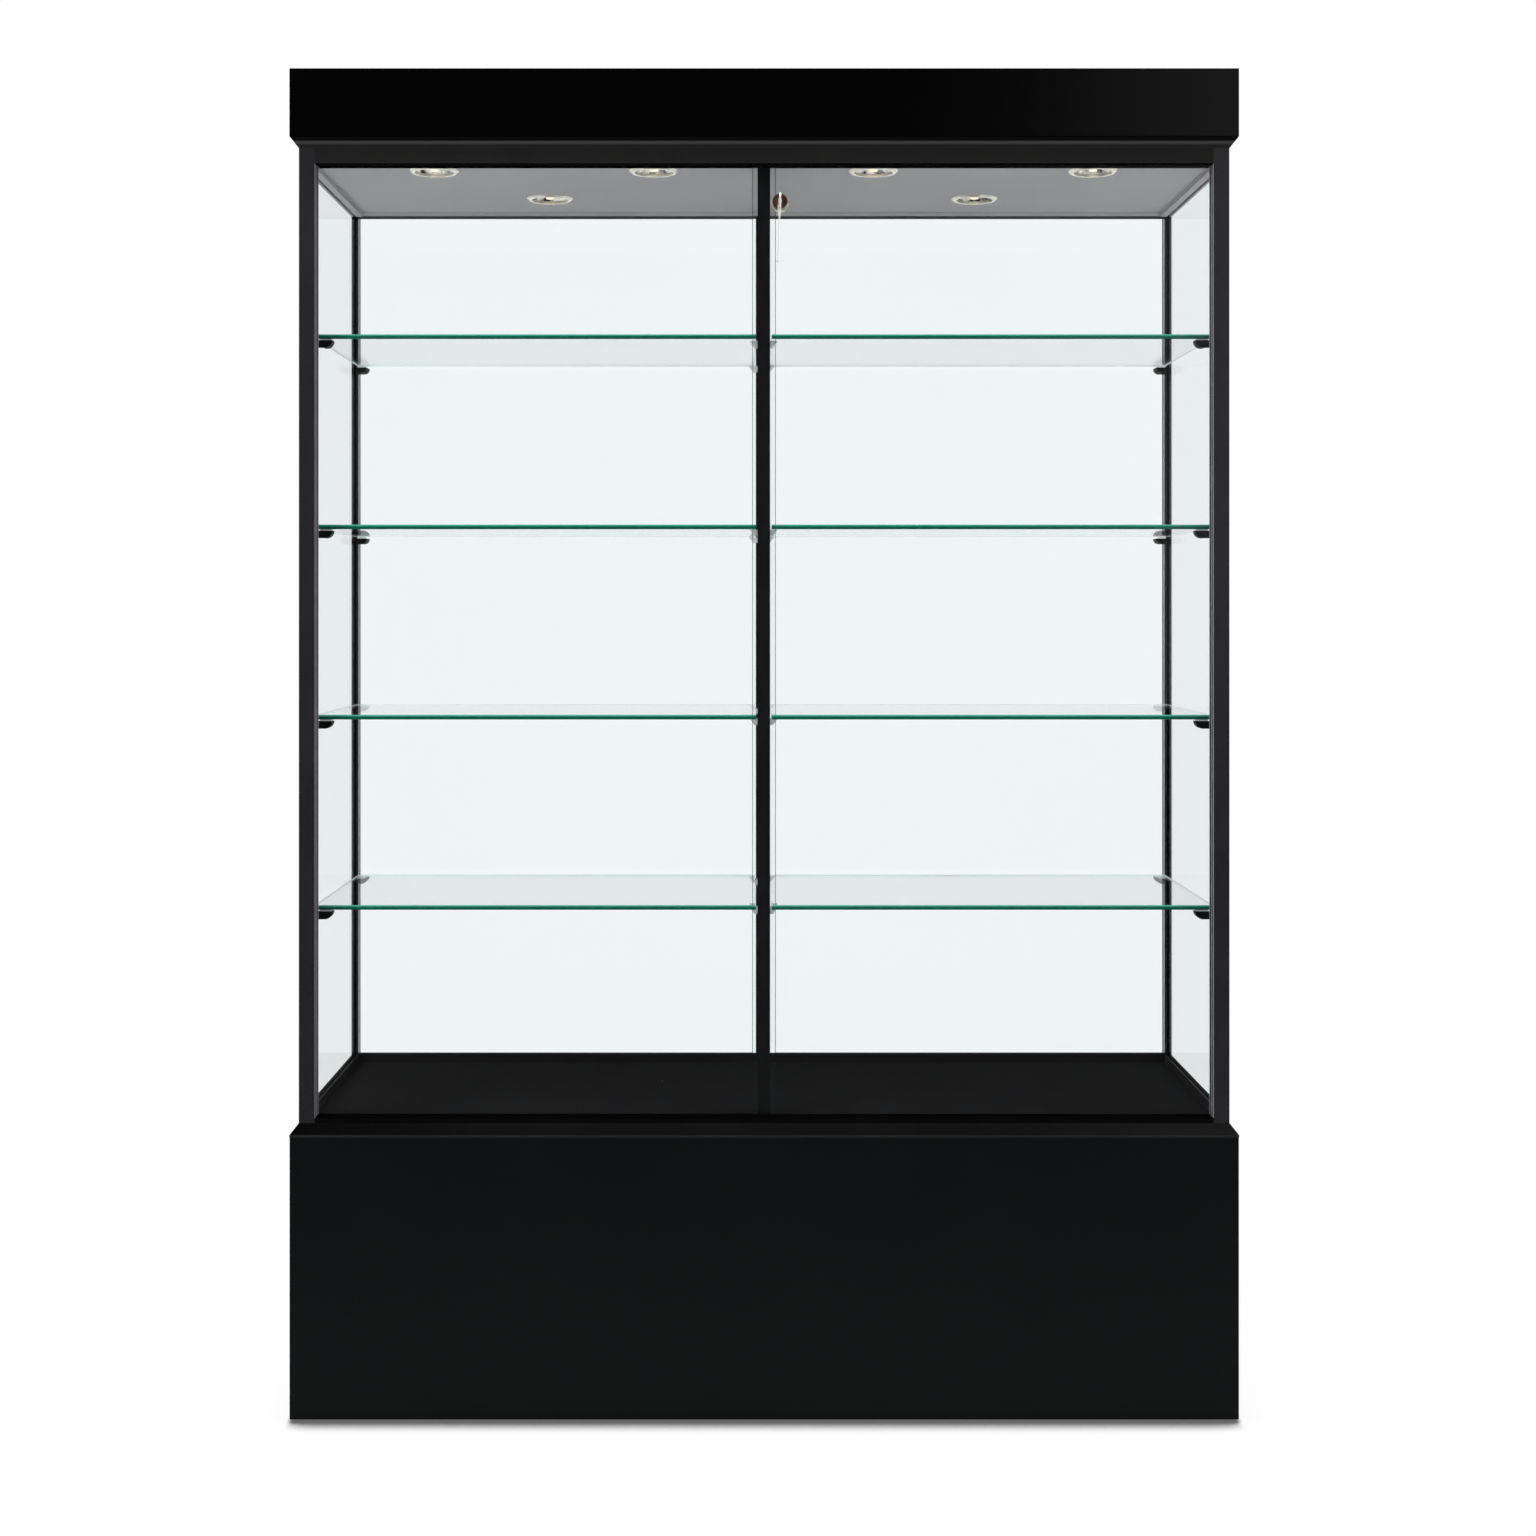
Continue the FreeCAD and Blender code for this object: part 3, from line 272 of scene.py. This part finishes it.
def litCapsule():
    material, tree = newMaterial("frostedLampGlass")
    glow = mottled(tree, lampLook["patternMm"], lampLook["dim"], lampLook["bright"])
    shader = addNode(tree, "ShaderNodeBsdfPrincipled",
                     {"Base Color": linear(lampLook["body"]), "Roughness": lampLook["rough"],
                      "Emission Strength": lampLook["strength"]}, {"Emission Color": glow})
    addNode(tree, "ShaderNodeOutputMaterial", None, {"Surface": shader.outputs["BSDF"]})
    return material


# Twisted cotton thread: off-white, with painted shade along the slant of its two plies
threadLook = {"light": "#cfcfcc", "shade": "#9c9c99", "twistMm": 2.4, "rough": 0.9, "specular": 0.2}
waveRadians = 10      # what a slanting wave runs through in each metre at a scale of 1


def cottonThread():
    material, tree = newMaterial("twistedCottonThread")
    place = addNode(tree, "ShaderNodeTexCoord").outputs["Object"]
    scale = perMetre(threadLook["twistMm"]) * (2 * math.pi / waveRadians)
    # painted shade bands along the plies
    twist = addNode(tree, "ShaderNodeTexWave", {"bands_direction": "DIAGONAL", "Scale": scale},
                    {"Vector": place}).outputs["Fac"]
    colour = addNode(tree, "ShaderNodeMix", {"data_type": "RGBA", 6: linear(threadLook["shade"]),
                                             7: linear(threadLook["light"])}, {0: twist}).outputs[2]
    shader = addNode(tree, "ShaderNodeBsdfPrincipled",
                     {"Roughness": threadLook["rough"], "Specular IOR Level": threadLook["specular"]},
                     {"Base Color": colour})
    addNode(tree, "ShaderNodeOutputMaterial", None, {"Surface": shader.outputs["BSDF"]})
    return material


materials.update(
    floatGlass=floatGlass("clearFloatGlass", floatGlassLook["bareIor"]),
    coatedGlass=floatGlass("coatedFloatGlass", floatGlassLook["coatedIor"]),
    clearPlastic=clearPlastic(),
    litCapsule=litCapsule(),
    cottonThread=cottonThread(),
)
materials.update({name: bandedEdge(name, look) for name, look in edges.items()})
print("materials made:", len(materials))

# Which finish each piece of the case wears
wear = {
    "ceiling_panel": "rolledGreyPaint",
    "front_bottom_track": "deepBlackAnodiseAndShade",
    "front_top_rail": "mattPowderCoat",
    "plinth_top": "mattBlackLaminate",
    "levelling_feet": "mouldedBlackNylon",
    "left_door_glides": "mouldedBlackNylon",
    "right_door_glides": "mouldedBlackNylon",
    "shelf_clips": "mouldedBlackNylon",
    "cable_gland": "mouldedBlackNylon",
    "lamp_leads": "mouldedBlackNylon",
    "clip_pads": "clearPlastic",
    "centre_clips": "clearPlastic",
    # bezels: mottled painted reflections in their finish
    "downlight_bezels": "platedChrome",
    # reflectors: painted reflections in their finish
    "downlight_reflectors": "spunAluminium",
    "downlight_lamps": "litCapsule",
    "downlight_housings": "galvanisedSteel",
    "downlight_springs": "galvanisedSteel",
    "lamp_driver": "mouldedGreyPlastic",
    "lock_barrel": "platedDarkNickel",
    "lock_nut": "platedChrome",
    "lock_plug": "platedDarkNickel",
    "lock_key": "nickelPlatedSteel",
    "key_thread": "cottonThread",
}


def finishOf(name):
    if name in wear:
        return wear[name]
    if name.startswith("plinth_"):
        return "satinBlackLaminate"
    if name.startswith("header_"):
        return "polishedBlackLaminate"
    if name.endswith(("_side_glass", "_shelf")):
        return "coatedGlass"
    if name.endswith("_glass"):
        return "floatGlass"
    # mullions: the darker coat, painted shade
    if name.endswith("_mullion"):
        return "shadedPowderCoat"
    if name.endswith("_bottom_rail"):
        return "mattPowderCoat"
    return "powderCoatedAluminium"


# Faces that wear another finish than the rest of their piece, by the way they turn: square to an axis, or
# leaning to it as a bevel does
square = 0.9
leaning = 0.5
otherFaces = {
    "plinth_top": [("polishedBlackLaminate", lambda turn: turn.y < -leaning and turn.z > leaning)],
    # inner faces of the front posts: mid grey as painted light
    "front_left_post": [("paintedLightPostFace", lambda turn: turn.x > square)],
    "front_right_post": [("paintedLightPostFace", lambda turn: turn.x < -square)],
    # front rail's underside: the deeper black as painted shade
    "front_top_rail": [("deepBlackAnodiseAndShade", lambda turn: turn.z < -square)],
    # rear rail's face: painted light, with a painted shade band at its foot
    "rear_top_rail": [("rearRailPaintedLightAndShade", lambda turn: turn.y < -square),
                      ("mattPowderCoat", lambda turn: turn.z < -square)],
    "left_top_rail": [("rolledGreyPaint", lambda turn: turn.z < -square or turn.x > square)],
    "right_top_rail": [("rolledGreyPaint", lambda turn: turn.z < -square or turn.x < -square)],
}
# the headers' bevels: painted highlight line and painted shading
for side in ("front", "back", "left", "right"):
    otherFaces[f"header_{side}_board"] = [("headerBevelPaintedShading", lambda turn: -square < turn.z < -leaning)]


def faceRules(name):
    if name.endswith("_shelf"):   # ground at the front, polished where it is seen through the sheet
        # polished edges painted pale as painted light; the ground front edge with a painted highlight
        return [("polishedGlassEdge", lambda turn: abs(turn.z) < square),
                ("groundGlassEdge", lambda turn: turn.y < -leaning)]
    if name.endswith("_door_glass"):   # the uprights are polished clear
        # the doors' top and bottom edges: the ground edge, with its painted highlight
        return [("groundGlassEdge", lambda turn: abs(turn.z) > leaning)]
    return otherFaces.get(name, [])


def dress(name, node):
    finish = finishOf(name)
    rules = faceRules(name)
    node.data.materials.clear()
    for worn in [finish] + [other for other, test in rules]:
        node.data.materials.append(materials[worn])
    for face in node.data.polygons:
        face.material_index = 0
        for index, (other, test) in enumerate(rules, start=1):
            if test(face.normal):
                face.material_index = index


for name, node in nodes.items():
    dress(name, node)
print("nodes dressed")

# Thread that hangs from the key: the same points as its solid, in metres
thread = {
    "exit": (0.020, -0.1972, 1.54005),
    "keyZ": 1.545,
    "points": [(0, 0.0028), (-0.0008, -0.014), (-0.0026, -0.032), (-0.0022, -0.052), (-0.0034, -0.071)],
    "radius": 0.0006,
    "tie": (0.0018, 0.0040),    # half width and half height of the loop round the key's flat neck
    "tieTurns": 12,
    "tieSteps": 96,
    "legs": [(0.0016, 0.0012), (0.0019, -0.005), (0.0013, -0.011), (0.0002, -0.018)],
    "legShift": -0.0006,        # both ends hang a little to the left
    "knotRadius": 0.0016,
    "knotSteps": 64,
    "knotReach": (0.75, 0.25),  # how far out the knot's line runs, and how much that swells
    "roundness": 3,             # of the tube's section
    "order": 3,
    "smoothness": 16,
}


def tube(name, radius, spline, points, cyclic=False, carrier="right_door"):
    data = bpy.data.curves.new(name, "CURVE")
    data.dimensions = "3D"
    data.bevel_depth = radius
    data.bevel_resolution = thread["roundness"]
    line = data.splines.new(spline)
    line.points.add(len(points) - 1)
    for spot, place in zip(line.points, points):
        spot.co = (*place, 1.0)
    line.use_cyclic_u = cyclic
    if spline == "NURBS":
        line.order_u = thread["order"]
        line.use_endpoint_u = True
        line.resolution_u = thread["smoothness"]
    piece = bpy.data.objects.new(name, data)
    bpy.context.scene.collection.objects.link(piece)
    piece.data.materials.append(materials["cottonThread"])
    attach(piece, carrier)
    return piece


def tiePly(name, centre, phase):
    steps = thread["tieSteps"]
    halfWidth, halfHeight = thread["tie"]
    spots = []
    for step in range(steps):
        around = 2 * math.pi * step / steps
        twist = thread["tieTurns"] * around + phase
        reach = thread["radius"] / 2 * math.cos(twist)
        spots.append((centre.x + (halfWidth + reach) * math.sin(around),
                      centre.y + thread["radius"] / 2 * math.sin(twist),
                      centre.z + (halfHeight + reach) * math.cos(around)))
    return tube(name, thread["radius"] / 2, "POLY", spots, True, "key")


# An overhand knot runs as a trefoil: twice round, and three times up and down
def knotBall(name, centre):
    spots = []
    steps = thread["knotSteps"]
    middle, swell = thread["knotReach"]
    for step in range(steps):
        along = 2 * math.pi * step / steps
        reach = (thread["knotRadius"] - thread["radius"]) * (middle + swell * math.cos(3 * along))
        spots.append((centre.x + reach * math.cos(2 * along), centre.y + reach * math.sin(2 * along),
                      centre.z + reach * math.sin(3 * along)))
    return tube(name, thread["radius"], "POLY", spots, True)


exitPoint = Vector(thread["exit"])
strand = tube("key_thread_strand", thread["radius"], "NURBS",
              [exitPoint + Vector((x, 0, z)) for x, z in thread["points"]])
tieCentre = Vector((exitPoint.x, exitPoint.y, thread["keyZ"]))
lastX, lastZ = thread["points"][-1]
threadPieces = [tiePly("key_thread_tie_a", tieCentre, 0), tiePly("key_thread_tie_b", tieCentre, math.pi),
                knotBall("key_thread_knot", exitPoint + Vector((lastX, 0, lastZ)))]
for side, name in ((-1, "key_thread_leg_a"), (1, "key_thread_leg_b")):
    leg = [exitPoint + Vector((side * x + thread["legShift"], 0, z)) for x, z in thread["legs"]]
    threadPieces.append(tube(name, thread["radius"], "NURBS", leg))
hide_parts("key_thread")
print("thread hung")

# Levels of the white room, for the floor and for what mirrors show
roomLook = {"ambient": 0.6, "bright": 1.0, "front": 0.03, "frontY": -0.45, "backY": 0.05,
            "wall": 0.4, "wallX": (0.10, 0.25)}

# White floor: next to the case its paint is darkened by ambient occlusion as a painted contact shadow, right
# at the case it glows faintly as painted light in the shade, and it is plain white further out
floorLook = {"size": 40.0, "caseHalf": (0.598, 0.2, 0.0), "sharpness": (5.0, 1.0, 1.0),
             "edgeM": 0.045, "under": 0.13, "glow": 0.96, "nearM": 0.5, "farM": 1.6,
             "dimY": -1.5, "brightY": -0.7,
             "colour": "#f6f6f6", "contactShadow": "#303030", "contactM": 0.05, "contactRays": 8, "shut": 0.5}


def whiteFloor():
    material, tree = newMaterial("paintedWhiteFloor")
    path = addNode(tree, "ShaderNodeLightPath")
    seen = addNode(tree, "ShaderNodeMath", {"operation": "MAXIMUM"},
                   {0: path.outputs["Is Camera Ray"], 1: path.outputs["Is Glossy Ray"]}).outputs[0]
    seen = addNode(tree, "ShaderNodeMath", {"operation": "MAXIMUM"},
                   {0: seen, 1: path.outputs["Is Transmission Ray"]}).outputs[0]
    place = addNode(tree, "ShaderNodeTexCoord").outputs["Object"]
    spot = addNode(tree, "ShaderNodeVectorMath", {"operation": "ABSOLUTE"}, {0: place}).outputs[0]
    spot = addNode(tree, "ShaderNodeVectorMath", {"operation": "SUBTRACT", 1: floorLook["caseHalf"]},
                   {0: spot}).outputs[0]
    spot = addNode(tree, "ShaderNodeVectorMath", {"operation": "MAXIMUM"}, {0: spot}).outputs[0]
    spot = addNode(tree, "ShaderNodeVectorMath", {"operation": "MULTIPLY", 1: floorLook["sharpness"]},
                   {0: spot}).outputs[0]
    away = addNode(tree, "ShaderNodeVectorMath", {"operation": "LENGTH"}, {0: spot}).outputs["Value"]
    # right at the case a faint glow as painted light in the shade under it, rising to plain white
    near = addNode(tree, "ShaderNodeMapRange",
                   {"From Max": floorLook["edgeM"], "To Min": floorLook["under"],
                    "To Max": floorLook["glow"], "interpolation_type": "SMOOTHSTEP"},
                   {"Value": away}).outputs["Result"]
    share = addNode(tree, "ShaderNodeMapRange",
                    {"From Min": floorLook["nearM"], "From Max": floorLook["farM"], "To Max": 1.0,
                     "interpolation_type": "SMOOTHSTEP"}, {"Value": away, "To Min": near}).outputs["Result"]
    share = addNode(tree, "ShaderNodeMath", {"operation": "MULTIPLY"}, {0: share, 1: seen}).outputs[0]
    # painted contact shadow: the paint darkens where ambient occlusion finds the case close
    clear = addNode(tree, "ShaderNodeAmbientOcclusion",
                    {"Distance": floorLook["contactM"], "samples": floorLook["contactRays"]})
    clear = addNode(tree, "ShaderNodeMapRange", {"From Min": floorLook["shut"]},
                    {"Value": clear.outputs["AO"]})
    shade = addNode(tree, "ShaderNodeMix", {"data_type": "RGBA", 6: linear(floorLook["contactShadow"]),
                                            7: linear(floorLook["colour"])}, {0: clear.outputs[0]}).outputs[2]
    paint = addNode(tree, "ShaderNodeBsdfDiffuse", None, {"Color": shade})
    along = addNode(tree, "ShaderNodeSeparateXYZ", None, {0: place}).outputs["Y"]
    mirrored = addNode(tree, "ShaderNodeMapRange",
                       {"From Min": floorLook["dimY"], "From Max": floorLook["brightY"],
                        "To Min": roomLook["front"], "To Max": roomLook["bright"],
                        "interpolation_type": "SMOOTHSTEP"}, {"Value": along}).outputs["Result"]
    strength = addNode(tree, "ShaderNodeMix", {2: 1.0},
                       {0: path.outputs["Glossy Depth"], 3: mirrored}).outputs[0]
    glow = addNode(tree, "ShaderNodeEmission", {"Color": linear("#ffffff")}, {"Strength": strength})
    mixed = addNode(tree, "ShaderNodeMixShader", None, {0: share, 1: paint.outputs[0], 2: glow.outputs[0]})
    addNode(tree, "ShaderNodeOutputMaterial", None, {"Surface": mixed.outputs[0]})
    return material


floorMesh = bpy.data.meshes.new("studio_floor")
half = floorLook["size"] / 2
corners = [(-half, -half, 0), (half, -half, 0), (half, half, 0), (-half, half, 0)]
floorMesh.from_pydata(corners, [], [range(4)])
floorMesh.materials.append(whiteFloor())
floor = bpy.data.objects.new("studio_floor", floorMesh)
bpy.context.scene.collection.objects.link(floor)

# Room: white to the eye, and dim before the case in a mirror but for a wall on the right, as in a studio with
# a white sheet behind
world = bpy.data.worlds.new("studio_room")
bpy.context.scene.world = world
world.use_nodes = True
tree = world.node_tree
tree.nodes.clear()
path = addNode(tree, "ShaderNodeLightPath")
direction = addNode(tree, "ShaderNodeTexCoord").outputs["Generated"]
direction = addNode(tree, "ShaderNodeSeparateXYZ", None, {0: direction})
mirrored = addNode(tree, "ShaderNodeMapRange",
                   {"From Min": roomLook["frontY"], "From Max": roomLook["backY"],
                    "To Min": roomLook["front"], "To Max": roomLook["bright"],
                    "interpolation_type": "SMOOTHSTEP"},
                   {"Value": direction.outputs["Y"]}).outputs["Result"]
wall = addNode(tree, "ShaderNodeMapRange",
               {"From Min": roomLook["wallX"][0], "From Max": roomLook["wallX"][1],
                "To Max": roomLook["wall"]},
               {"Value": direction.outputs["X"]}).outputs["Result"]
mirrored = addNode(tree, "ShaderNodeMath", {"operation": "MAXIMUM"}, {0: mirrored, 1: wall}).outputs[0]
plain = addNode(tree, "ShaderNodeMath", {"operation": "MAXIMUM"},
                {0: path.outputs["Is Camera Ray"], 1: path.outputs["Is Transmission Ray"]}).outputs[0]
strength = addNode(tree, "ShaderNodeMix", {2: roomLook["ambient"], 3: 1.0}, {0: plain}).outputs[0]
strength = addNode(tree, "ShaderNodeMix", None, {0: path.outputs["Glossy Depth"], 2: strength,
                                                 3: mirrored}).outputs[0]
sky = addNode(tree, "ShaderNodeBackground", {"Color": linear("#ffffff")}, {"Strength": strength})
addNode(tree, "ShaderNodeOutputWorld", None, {"Surface": sky.outputs[0]})

# Softboxes, out of the glass doors' mirror line to the camera
softboxes = {
    "key_softbox": {"place": (-3.2, -2.6, 2.6), "size": 1.8, "watts": 118},
    "fill_softbox": {"place": (3.4, -2.2, 2.0), "size": 1.8, "watts": 62},
    "top_softbox": {"place": (0.0, -0.6, 4.2), "size": 2.4, "watts": 110},
}
aim = Vector((0, 0, 0.85))
for name, box in softboxes.items():
    lamp = bpy.data.lights.new(name, "AREA")
    lamp.size = box["size"]
    lamp.energy = box["watts"]
    light = bpy.data.objects.new(name, lamp)
    light.location = box["place"]
    light.rotation_euler = (aim - Vector(box["place"])).to_track_quat("-Z", "Y").to_euler()
    light.visible_transmission = False   # not seen through the panes
    bpy.context.scene.collection.objects.link(light)
print("studio lit")

# Nearly level camera with a dropped lens, so that upright lines stay upright
cameraLook = {"place": (-0.029, -2.933, 1.0297), "tiltDeg": 0.04, "lensMm": 50.70, "sensorMm": 36.0,
              "shiftX": 0.0174, "shiftY": -0.105}
view = bpy.data.cameras.new("front_camera")
view.sensor_width = cameraLook["sensorMm"]
view.lens = cameraLook["lensMm"]
view.shift_x = cameraLook["shiftX"]
view.shift_y = cameraLook["shiftY"]
camera = bpy.data.objects.new("front_camera", view)
camera.location = cameraLook["place"]
camera.rotation_euler = (math.radians(90 + cameraLook["tiltDeg"]), 0, 0)
bpy.context.scene.collection.objects.link(camera)
bpy.context.scene.camera = camera
bpy.context.scene.view_settings.view_transform = "Standard"
print("camera set")
